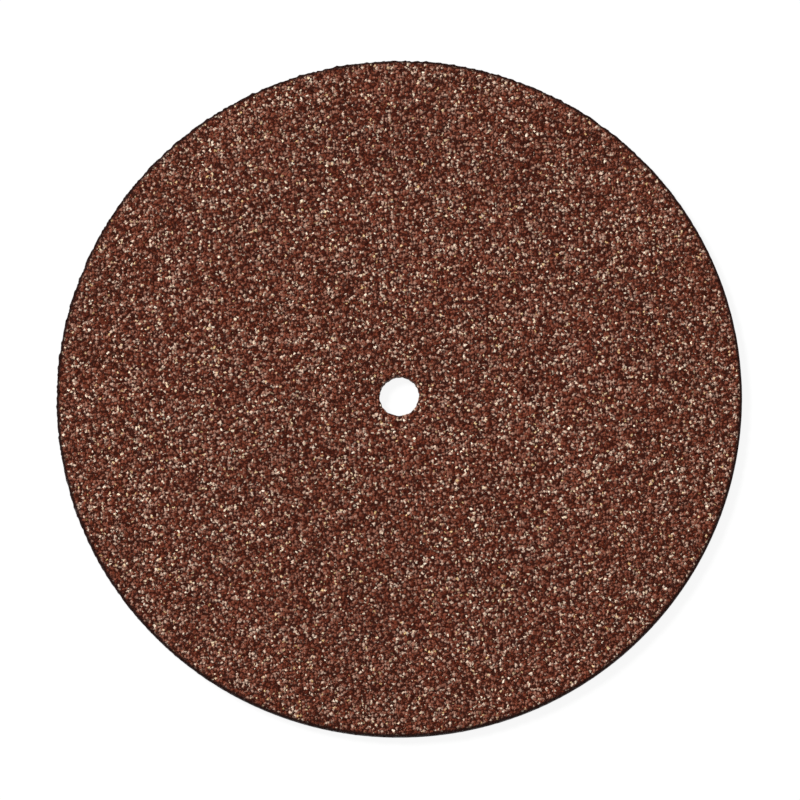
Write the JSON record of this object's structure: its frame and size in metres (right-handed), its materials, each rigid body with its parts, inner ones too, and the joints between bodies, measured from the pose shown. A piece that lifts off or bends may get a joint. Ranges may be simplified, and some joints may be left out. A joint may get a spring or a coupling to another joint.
{
  "type": "cut-off wheel",
  "caption": "Thin round resin-bonded abrasive disc with a small central bore, for cutting metal on a rotary tool's mandrel.",
  "frame": {"origin": "centre of the disc's lower face, on the surface it lies on", "axes": "+Z along the disc's axis, out of its upper face; X and Y are any two directions in its plane"},
  "size_m": [0.0254, 0.0254, 0.0005],
  "materials": {
    "abrasive": "rough resin-bonded abrasive grain, dark red-brown"
  },
  "bodies": {
    "root": {"abrasive_disc": "abrasive"}
  },
  "joints": []
}
